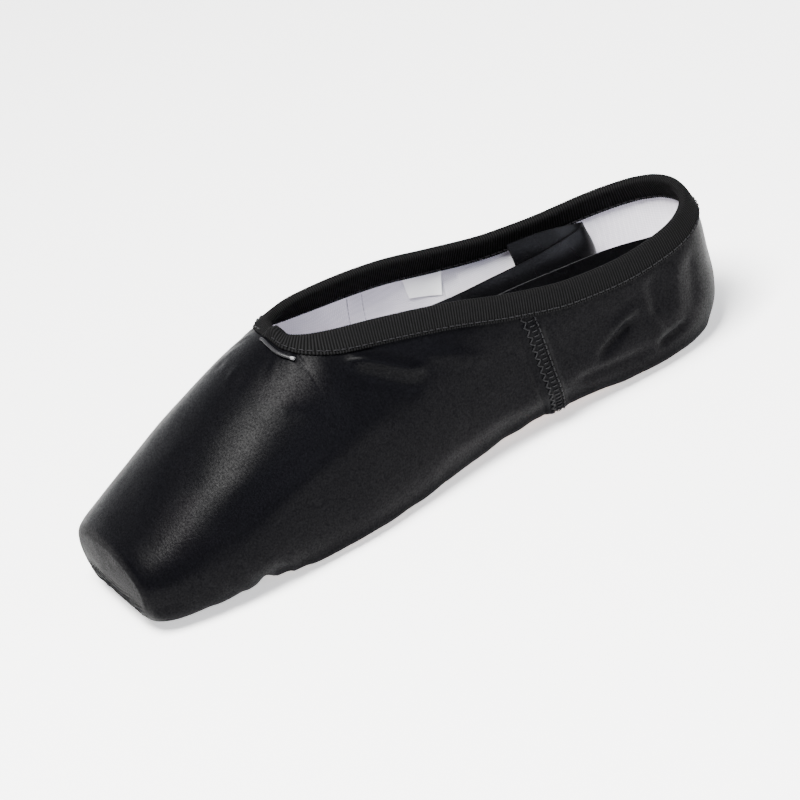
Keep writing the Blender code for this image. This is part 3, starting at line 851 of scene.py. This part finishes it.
def tape_ring(skin, here, down, d, side):
    """Points round the folded tape at one place of the collar, from its outer lower edge over the rim.
    By the throat, on the +X side, the tape's two ends overlap in a small bunch."""
    def laid(places):
        return [skin.off(here + down * deep * MM, off) for off, deep in places]

    bunch = BUNCH_RISE * bell(d - BUNCH_AT, BUNCH_RUN) if side > 0 else 0.0
    near = GAP
    far = near + BINDING_THICK - 0.15
    lo = leg_out(d)
    li = leg_in(d)
    rim = skin.at(here)[1]
    outside = laid([(far - 0.1, lo), (far, lo - 0.5), (far + 0.15 * bunch, 0.75 * lo),
                    (far + 0.6 * bunch, 0.5 * lo), (far + bunch, 0.25 * lo), (far + bunch, 0.8)])
    over = [here - down * (deep + 0.55 * bunch) * MM + rim * off * MM
            for off, deep in ((0.75 * far + 0.7 * bunch, 0.55), (0.2 * far, 1.0),
                              (-0.5 * WALL, BINDING_RISE), (-WALL - 0.2 * far, 1.0),
                              (-WALL - 0.8 * far, 0.55))]
    inside = laid([(-WALL - far, deep) for deep in (0.8, 0.33 * li, 0.66 * li, li)])
    under = laid([(-WALL - near, li), (-WALL - near, 0.5 * li), (near, 0.5 * lo), (near, lo)])
    return outside + over + inside + under


def build_binding(skin, mat):
    """Grosgrain tape folded over the collar edge, its cross cords modelled."""
    verts = []
    faces = []
    relief = []
    for side in (1, -1):
        frames = collar_frames(skin, side)
        rings = np.array([[tuple(p) for p in tape_ring(skin, *f, side)] for f in frames])
        run = np.array([f[2] for f in frames])
        fine = np.linspace(0.0, run[-1], int(run[-1] / RIB_PITCH * TAPE_FINE) + 1)
        dense = read_line(rings.reshape(len(rings), -1), run, fine).reshape(len(fine), -1, 3)
        tangent = np.gradient(dense, axis=0)
        round_ring = np.roll(dense, -1, axis=1) - np.roll(dense, 1, axis=1)
        normal = unit(np.cross(round_ring, tangent))
        centre = dense.mean(axis=1, keepdims=True)
        facing = np.sign(np.sum(normal * (dense - centre), axis=(1, 2)))
        normal *= np.where(facing >= 0, 1.0, -1.0)[:, None, None]
        cord = np.abs(np.sin(math.pi * fine / RIB_PITCH))
        ribbed = np.arange(rings.shape[1]) < TAPE_OUTSIDE
        dense += normal * ((cord[:, None] - 0.75) * ribbed * RIB_DEPTH * MM)[..., None]
        faces += shifted(grid_faces(len(fine), rings.shape[1], True), len(verts))
        verts += dense.reshape(-1, 3).tolist()
        # the cords' crest share, which the tape's finish turns into painted shade in the grooves and painted
        # light on the crests
        relief += np.repeat(cord, rings.shape[1]).tolist()
    binding = make_piece("collar_binding", verts, faces, mat, None, relief)
    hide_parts("binding")
    return binding


RIBBON_ROWS = 150
RIBBON_ACROSS = 17
# Ribbons: side, distance from the toe, height of the lower edge
FAR_RIBBON = [
    (-24.6, 181.0, 24.5),
    (-24.8, 190.0, 23.5),
    (-24.9, 200.0, 21.5),
    (-23.9, 208.0, 19.8),
    (-22.1, 210.2, 19.4),
    (-20.6, 208.0, 19.0),
    (-20.2, 198.0, 18.0),
    (-20.3, 180.0, 17.5),
    (-20.7, 160.0, 17.8),
    (-21.2, 142.0, 18.5),
]
NEAR_RIBBON = [
    (6.5, 152.0, 25.0),
    (5.0, 170.0, 23.0),
    (4.0, 190.0, 21.0),
    (3.5, 208.0, 18.5),
    (4.0, 220.0, 16.5),
    (6.2, 227.0, 15.0),
    (9.5, 228.0, 13.5),
    (12.5, 222.0, 10.5),
    (14.5, 208.0, 7.6),
    (15.0, 190.0, 7.9),
    (14.5, 172.0, 10.0),
]


def smooth_path(points, count):
    """Even points on a smooth curve through the given ones."""
    rows = np.column_stack([run_along(points), points])
    return np.array([steady(rows, t) for t in np.linspace(0, rows[-1, 0], count)])


def build_ribbon(name, path, mat, node, belly):
    """Single-face satin ribbon standing on its edge, bellied and slightly cupped, with a corded selvedge."""
    rows = smooth_path(path, RIBBON_ROWS)
    across = RIBBON_ACROSS
    up = np.array([0.0, 0.0, 1.0])
    run = run_along(rows)
    verts = []
    for i, row in enumerate(rows):
        side = unit(np.cross(rows[min(i + 1, len(rows) - 1)] - rows[max(i - 1, 0)], up))
        rise = RIBBON_WIDTH * (1 - 0.25 * (math.pi * belly * side[0] / RIBBON_WIDTH) ** 2)
        for face in (1, -1):
            for j in range(across):
                t = j / (across - 1) if face == 1 else 1 - j / (across - 1)
                cup = (belly * side[0] + 0.35 * math.sin(run[i] * 0.11)) * math.sin(math.pi * t)
                curl = 0.25 * (2 * t - 1) ** 2 * math.sin(run[i] * 0.19 + 1.0)
                thick = RIBBON_THICK * (0.62 if t in (0.0, 1.0) else 0.5)
                verts.append(to_world(row + up * t * rise + side * (cup + curl + face * thick)))
    faces = grid_faces(len(rows), 2 * across, True)
    for start in (0, (len(rows) - 1) * 2 * across):
        faces += [(start + j, start + j + 1, start + 2 * across - 2 - j, start + 2 * across - 1 - j)
                  for j in range(across - 1)]
    piece = make_piece(name, verts, faces, mat, 60.0)
    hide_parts(node)
    return piece


# Outsole and insole

INSOLE_ROUND = 0.6
INSOLE_ACROSS = 31
SOLE_TUCK = 0.8
SOLE_ROUND = 0.7
SOLE_STITCH_INSET = 4.0
SOLE_STITCH_PITCH = 5.7
SOLE_STITCH_LONG = 0.55
SOLE_ROW_GAP = 5.0
SOLE_ROW_BACK = 112.0
CHANNEL_DEEP = 0.75
CHANNEL_HALF = 0.75
HOLE_SIDES = 10


def sole_lengths(inset):
    """Distances from the toe along the sole's outline, drawn in by an inset at both ends."""
    share = (OUTLINE[:, 1] - SOLE_FRONT) / (SOLE_BACK - SOLE_FRONT)
    return SOLE_FRONT + inset + share * (SOLE_BACK - SOLE_FRONT - 2 * inset)


def sole_loop(inset):
    """Points round the sole at an inset from its outline: side, distance from the toe."""
    s = sole_lengths(inset)
    widest = np.array([OUTLINE[np.abs(OUTLINE[:, 1] - at) <= 18.0, 0].max() for at in OUTLINE[:, 1]])
    w = OUTLINE[:, 0] * (1 - inset / widest)
    right = np.column_stack([w, s])
    front = np.column_stack([np.linspace(-w[0], w[0], 20)[1:-1], np.full(18, s[0])])
    return np.concatenate([right, right[::-1] * np.array([-1.0, 1.0]), front])


def build_outsole(mat):
    """Leather outsole, its edge tucked under the rolled satin, with cut channels for the stitches."""
    round_low = [(SOLE_ROUND, 0.0), (0.3 * SOLE_ROUND, 0.3 * SOLE_ROUND), (0.0, SOLE_ROUND)]
    rings = []
    for middle, fades in ((SOLE_STITCH_INSET + SOLE_ROW_GAP, 1.0), (SOLE_STITCH_INSET, 0.0)):
        near, far = middle - CHANNEL_HALF, middle + CHANNEL_HALF
        for inset, deep in ((far + 0.3, 0.0), (far, 1.0), (near, 1.0), (near - 0.3, 0.0)):
            rings.append((inset, deep, fades))
    verts = []
    for inset, deep, fades in rings:
        for x, s in sole_loop(inset):
            reach = smooth((SOLE_ROW_BACK - s) / 4.0) if fades else 1.0
            verts.append(to_world((x, s, sole_height(s) + CHANNEL_DEEP * deep * reach)))
    for inset, z in round_low + [(a, OUTSOLE_THICK - b) for a, b in round_low[::-1]]:
        verts += [to_world((x, s, sole_height(s) + z)) for x, s in sole_loop(SOLE_TUCK + inset)]
    count = len(sole_loop(0.0))
    steps = len(OUTLINE)
    faces = grid_faces(len(verts) // count, count, True)
    for first in (0, len(verts) - count):
        faces.append(tuple(first + i for i in [0, 1, 2 * steps - 2, *range(2 * steps - 1, count)]))
        for i in range(1, steps - 1):
            faces.append(tuple(first + k for k in (i, i + 1, 2 * steps - 2 - i, 2 * steps - 1 - i)))
    outsole = make_piece("outsole_leather", verts, faces, mat, 40.0)
    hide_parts("outsole")
    return outsole


def build_insole(mat):
    """Cotton covered insole on the sole's outline, its edges rounded."""
    edge = [(-0.3 * INSOLE_ROUND, 0.3 * INSOLE_ROUND), (0.0, INSOLE_ROUND)]
    edge += [(dx, INSOLE_THICK - dz) for dx, dz in edge[::-1]]
    verts = []
    widths = np.maximum(OUTLINE[:, 0] - INSOLE_INSET, 1.5)
    for w, s in zip(widths, sole_lengths(INSOLE_INSET)):
        z = seat_height(s) + WALL + GAP
        flat = np.linspace(INSOLE_ROUND - w, w - INSOLE_ROUND, INSOLE_ACROSS)
        loop = [(x, 0.0) for x in flat] + [(w + dx, dz) for dx, dz in edge]
        loop += [(x, INSOLE_THICK) for x in flat[::-1]] + [(-w - dx, dz) for dx, dz in edge[::-1]]
        verts += [to_world((x, s, z + dz)) for x, dz in loop]
    faces = tube_faces(len(widths), 2 * INSOLE_ACROSS + 2 * len(edge))
    insole = make_piece("insole_cotton", verts, faces, mat, 40.0)
    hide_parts("insole")
    return insole


def build_drawstring(skin, mat):
    """The elastic cord's tail: out at the centre front, then along the lower edge of the tape."""
    points = []
    for here, down, d in collar_frames(skin, 1):
        if d > CORD_RUN:
            break
        beside = here + down * (leg_out(d) + CORD_OFFSET + CORD_DRIFT * d) * MM
        points.append(skin.off(beside, CORD_RADIUS + GAP + CORD_LIFT))
    points[0].x = 0.9 * MM
    fine = smooth_path([tuple(p) for p in points], 60)
    round_steps = 16
    verts = []
    for i, p in enumerate(fine):
        along = unit(fine[min(i + 1, len(fine) - 1)] - fine[max(i - 1, 0)])
        side = unit(np.cross(along, (0.0, 0.0, 1.0)))
        up = np.cross(side, along)
        for j, (c, d) in enumerate(circle(round_steps)):
            a = 4 * math.pi * j / round_steps
            braid = 1.0 + 0.09 * math.sin(a + i * 0.9) * math.sin(a - i * 0.9)
            verts.append(p + (side * c + up * d) * CORD_RADIUS * MM * braid)
    faces = tube_faces(len(fine), round_steps)
    cut_end = np.repeat(np.arange(len(fine)) > len(fine) - 6, round_steps)
    tail = make_piece("drawstring_cord", verts, faces, mat, 60.0, cut_end)
    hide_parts("drawstring_tail")
    return tail


# Thread work

def thread_bars(name, bars, mat):
    """Stitches as small arched tubes; each bar is (start, end, outward normal, radius in millimetres)."""
    arch = [(0.0, -0.3), (0.12, 0.55), (0.5, 1.0), (0.88, 0.55), (1.0, -0.3)]
    slants = [1.2, 0.0, 0.0, 0.0, -1.2]
    sides = 6
    verts = []
    faces = []
    for start, end, normal, radius in bars:
        start, end, normal = Vector(start), Vector(end), Vector(normal).normalized()
        along = (end - start).normalized()
        side = along.cross(normal).normalized()
        first = len(verts)
        for n, (t, lift) in enumerate(arch):
            middle = start.lerp(end, t) + normal * lift * radius * MM
            bend = (normal - along * slants[n]).normalized()
            verts += [middle + (side * c + bend * d) * radius * MM for c, d in circle(sides)]
        faces += shifted(tube_faces(len(arch), sides), first)
    return make_piece(name, verts, faces, mat, None)


def seam_place(skin, side, mark, behind):
    """A place on the side seam's band: mark up the section, and millimetres behind its front edge."""
    return skin.across_foot(mark, float(seam_line(mark)) + behind, side)


def row_of_places(place_of, low, high, pitch):
    """Places along a row, evenly apart, with their normals; place_of takes a share from low to high."""
    shares = np.linspace(low, high, 60)
    coarse = [place_of(t) for t in shares]
    run = run_along([tuple(p) for p, _ in coarse]) / MM
    count = max(int(run[-1] / pitch), 1)
    return [place_of(t) for t in np.interp(np.linspace(0, run[-1], count + 1), run, shares)]


def stitched_row(places, share, lift, radius):
    """Bars along a row: each fills its share of the pitch, lifted off the cloth."""
    bars = []
    for (a, na), (b, nb) in zip(places[:-1], places[1:]):
        normal = (na + nb).normalized()
        middle = (a + b) / 2 + normal * lift * MM
        reach = (b - a) * share / 2
        bars.append((middle - reach, middle + reach, normal, radius))
    return bars


# The seam's three rows: millimetres behind its front edge, first and last mark, pitch
ZIGZAG_ROW = (2.2, 3.9, 13.2, 1.5)
LADDER_ROW = (4.7, 4.2, 13.1, 1.9)
STRAIGHT_ROW = (6.6, 4.1, 13.2, 2.3)


def build_seam_stitches(skin, mat):
    """Both side seams: a zigzag row by the front edge, ladder bars and a straight row behind."""
    bars = []
    for side in (1, -1):
        zigzag, ladder, straight = (
            row_of_places(lambda m: seam_place(skin, side, m, behind), low, high, pitch)
            for behind, low, high, pitch in (ZIGZAG_ROW, LADDER_ROW, STRAIGHT_ROW))
        for n, ((a, na), (b, nb)) in enumerate(zip(zigzag[:-1], zigzag[1:])):
            normal = (na + nb).normalized()
            across = (b - a).cross(normal).normalized() * (1.0 if n % 2 else -1.0) * 0.75 * MM
            lifted = normal * 0.12 * MM
            bars.append((a + across + lifted, b - across + lifted, normal, 0.24))
        for a, na in ladder:
            across = Vector((0.0, 0.95, 0.0)) * MM
            lifted = a + na * 0.1 * MM
            bars.append((lifted - across, lifted + across, na, 0.2))
        bars += stitched_row(straight, 0.72, 0.12, 0.26)
    return thread_bars("side_seam_stitches", bars, mat)


TAPE_STITCH_PITCH = 2.4
TAPE_STITCH_LONG = 0.68 * TAPE_STITCH_PITCH
TAPE_STITCH_IN = 1.1


def build_tape_stitches(skin, mat):
    """The row that holds the tape down, just inside its lower edge, outside and in."""
    bars = []
    top = BINDING_THICK + GAP - 0.02
    for side in (1, -1):
        frames = collar_frames(skin, side)
        run = np.array([f[2] for f in frames])
        at = np.arange(4.0, run[-1] - 1.0, TAPE_STITCH_PITCH)
        for leg, off, way in ((leg_out, top, 1.0), (leg_in, -WALL - top, -1.0)):
            line = [tuple(skin.off(here + down * (leg(d) - TAPE_STITCH_IN) * MM, off))
                    for here, down, d in frames]
            starts = read_line(line, run, at)
            ends = read_line(line, run, at + TAPE_STITCH_LONG)
            for a, b in zip(starts, ends):
                bars.append((a, b, skin.at(Vector((a + b) / 2))[1] * way, 0.2))
    return thread_bars("tape_stitches", bars, mat)


LINING_ROWS = (118.5, 124.5)


def build_lining_stitches(skin, mat):
    """Two rows up the lining inside each side, where the vamp's lining is joined."""
    bars = []
    for side in (1, -1):
        for s in LINING_ROWS:
            places = row_of_places(lambda m: skin.across_foot(m, s, side), 8.2, 13.6, 2.2)
            inner = [(p - n * (WALL - 0.02) * MM, -n) for p, n in places]
            bars += stitched_row(inner, 0.7, 0.0, 0.17)
    return thread_bars("lining_stitches", bars, mat)


# Corners of the tab on the far wall, as (distance from the toe, height): lower toe, lower heel, upper two
LABEL_CORNERS = ((141.8, 42.2), (153.8, 37.8), (140.5, 53.0), (156.8, 48.0))


def build_label(skin, mat):
    """A bare woven tab sewn to the lining of the far side, its lower corners slightly lifted."""
    across, up = 22, 18
    corners = np.array(LABEL_CORNERS)
    verts = []
    for layer in (0, 1):
        for i in range(up):
            for j in range(across):
                u, v = j / (across - 1), i / (up - 1)
                lower = corners[0] * (1 - u) + corners[1] * u
                upper = corners[2] * (1 - u) + corners[3] * u
                s, z = lower * (1 - v) + upper * v
                here = Vector((-26.0 * MM, (s - MIDDLE) * MM, z * MM))
                curl = 0.3 * (1 - v) ** 2 * (2 * u - 1) ** 2 + 0.08 * math.sin(u * 6.0) * (1 - v)
                verts.append(skin.off(here, -WALL - 0.25 - curl - 0.28 * layer))
    count = up * across
    sheet = grid_faces(up, across)
    rim = [*range(across), *range(2 * across - 1, count, across), *range(count - 2, count - across - 1, -1),
           *range(count - 2 * across, 0, -across)]
    faces = sheet + shifted(sheet, count)
    faces += [(a, b, b + count, a + count) for a, b in zip(rim, rim[1:] + rim[:1])]
    return make_piece("size_tab_bare", verts, faces, mat, 40.0)


def sole_row(inset, back):
    """Places round the sole's underside at an inset, on both sides, evenly apart."""
    loop = sole_loop(inset)
    turn = int(np.argmax(loop[:, 1]))
    line = np.concatenate([loop[turn:], loop[:turn + 1]])
    if back < SOLE_BACK:
        line = line[line[:, 1] <= back]
    run = run_along(line)
    return read_line(line, run, np.linspace(0, run[-1], int(run[-1] / SOLE_STITCH_PITCH) + 1))


def build_sole_stitches(thread_mat, hole_shade_mat):
    """The stitches in the sole's channel, each between two needle holes drawn as shallow dark discs: painted
    shade of the holes.
    """
    bars = []
    holes = []
    down = Vector((0.0, 0.0, -1.0))
    rows = [(SOLE_STITCH_INSET, SOLE_BACK), (SOLE_STITCH_INSET + SOLE_ROW_GAP, SOLE_ROW_BACK)]
    for inset, back in rows:
        pts = sole_row(inset, back)
        for a, b in zip(pts[:-1], pts[1:]):
            ends = []
            for t in (0.5 - SOLE_STITCH_LONG / 2, 0.5 + SOLE_STITCH_LONG / 2):
                x, s = a + (b - a) * t
                ends.append(to_world((x, s, sole_height(s) + CHANNEL_DEEP)))
            bars.append((ends[0], ends[1], down, 0.34))
            holes += ends
    stitches = thread_bars("sole_stitches", bars, thread_mat)
    # painted shade: each needle hole is a nearly flat dark disc whose colour stands in for the shade inside
    # the hole
    verts = []
    faces = []
    for middle in holes:
        first = len(verts)
        for lift, reach in ((0.02, 0.72), (-0.04, 0.6), (-0.04, 0.0)):
            verts += [middle + Vector((reach * c, reach * d, lift)) * MM for c, d in circle(HOLE_SIDES)]
        faces += shifted(grid_faces(3, HOLE_SIDES, True), first)
    marks = make_piece("sole_needle_holes", verts, faces, hole_shade_mat, None)
    return stitches, marks


# Camera and light

VIEW_AZIMUTH = math.radians(69.81)
VIEW_ELEVATION = math.radians(28.02)
VIEW_ROLL = math.radians(17.54)
VIEW_DISTANCE = 1.449
VIEW_TARGET = (0.0, 120.0, 28.0)
VIEW_SCALE = 2.92
SENSOR = 36.0
IMAGE_SIDE = 800
SHIFT_RIGHT = -1.5
SHIFT_UP = -5.0


def build_camera():
    a, e, r = VIEW_AZIMUTH, VIEW_ELEVATION, VIEW_ROLL
    back = Vector((math.sin(a) * math.cos(e), -math.cos(a) * math.cos(e), math.sin(e)))
    level = Vector((math.cos(a), math.sin(a), 0.0))
    upright = back.cross(level)
    right = level * math.cos(r) - upright * math.sin(r)
    up = level * math.sin(r) + upright * math.cos(r)
    data = bpy.data.cameras.new("camera")
    data.sensor_width = SENSOR
    data.lens = VIEW_SCALE * VIEW_DISTANCE / MM * SENSOR / IMAGE_SIDE
    camera = put_in_scene("camera", data)
    target = to_world(VIEW_TARGET) + right * SHIFT_RIGHT * MM + up * SHIFT_UP * MM
    axes = Matrix((right, up, back)).transposed().to_4x4()
    camera.matrix_world = Matrix.Translation(target + back * VIEW_DISTANCE) @ axes
    bpy.context.scene.camera = camera


def soft_light(name, place, target, size, power, hue):
    data = bpy.data.lights.new(name, "AREA")
    data.shape = "RECTANGLE"
    data.size, data.size_y = size
    data.energy = power
    data.color = tone(hue)[:3]
    lamp = put_in_scene(name, data)
    lamp.location = place
    lamp.rotation_mode = "QUATERNION"
    lamp.rotation_quaternion = (Vector(target) - Vector(place)).to_track_quat("-Z", "Y")


FLOOR_HALF = 6.0
FLOOR_GLOW = 0.9


def build_stage():
    """Pale lit paper under the shoe, one softbox overhead, and pale screens behind it and at its side."""
    mat, tree, shader, place = new_finish("floor paper", Roughness=0.95, Specular_IOR_Level=0.1,
                                          Emission_Strength=FLOOR_GLOW, Emission_Color=tone("#ffffff"))
    feed(tree, shader, Base_Color=shaded(tree, noise_at(tree, place, 3.0), "#f8f8f9", "#fdfdfd"))
    mesh = bpy.data.meshes.new("floor")
    h = FLOOR_HALF
    mesh.from_pydata([(-h, -h, 0), (h, -h, 0), (h, h, 0), (-h, h, 0)], [], [(0, 1, 2, 3)])
    mesh.materials.append(mat)
    floor = put_in_scene("floor", mesh)
    world = bpy.data.worlds.new("dim surroundings")
    world.use_nodes = True
    surroundings = world.node_tree.nodes["Background"]
    surroundings.inputs["Color"].default_value = tone("#e6e9f2")
    surroundings.inputs["Strength"].default_value = 0.3
    bpy.context.scene.world = world
    soft_light("overhead softbox", (0.3, -0.35, 1.25), (0.0, 0.0, 0.03), (0.62, 0.62), 103.0, "#fffefb")
    soft_light("side screen", (1.6, 0.45, 0.8), (0.0, 0.0, 0.03), (1.2, 0.7), 13.0, "#eaeeff")
    soft_light("screen behind", (-1.7, -0.1, 0.4), (0.0, 0.0, 0.15), (2.6, 0.8), 15.0, "#fbfcff")


def main():
    build_camera()
    black_satin = satin("black duchess satin", "#08080b", "#010101", 0.026, 0.36, 1.1, 0.6)
    lining = woven_cotton("white cotton drill lining", "#efecf3", "#aaa6b5", 0.7, 0.5)
    tape = grosgrain("black grosgrain tape")
    leather = sole_leather("vegetable tanned sole leather")
    ribbon_satin = satin("black ribbon satin", "#0a0a0c", "#020202", 0.16, 0.26, 0.9, 0.15)
    cord_mat = twisted_thread("black braided elastic", "#242426", "#08080a", 0.38, 0.25, "#646466")
    black_thread = twisted_thread("black polyester thread", "#1e1e20", "#050506", 0.45, 0.1)
    white_thread = twisted_thread("white cotton thread", "#c9c5cf", "#9a96a2", 0.7)
    waxed_thread = twisted_thread("waxed linen thread", "#d79a62", "#a8683a", 0.6)
    # dark brown for the needle-hole discs: painted shade of the holes
    hole_shade_mat = woven_cotton("painted needle hole shade", "#6b3a22", "#4a2816", 0.5, 0.1)
    tab = woven_cotton("white woven tab", "#ffffff", "#f4f3f6", 0.5, 0.3)

    folded = Skin(*build_upper(black_satin, lining))
    skin = Skin(*upper_grid())
    build_seam_stitches(folded, black_thread)
    build_tape_stitches(skin, black_thread)
    build_lining_stitches(folded, white_thread)
    build_label(skin, tab)
    build_sole_stitches(waxed_thread, hole_shade_mat)
    build_binding(skin, tape)
    build_outsole(leather)
    build_insole(lining)
    build_drawstring(skin, cord_mat)
    build_ribbon("ribbon_satin_far", FAR_RIBBON, ribbon_satin, "ribbon_far", 2.8)
    build_ribbon("ribbon_satin_near", NEAR_RIBBON, ribbon_satin, "ribbon_near", 0.8)
    build_stage()


main()
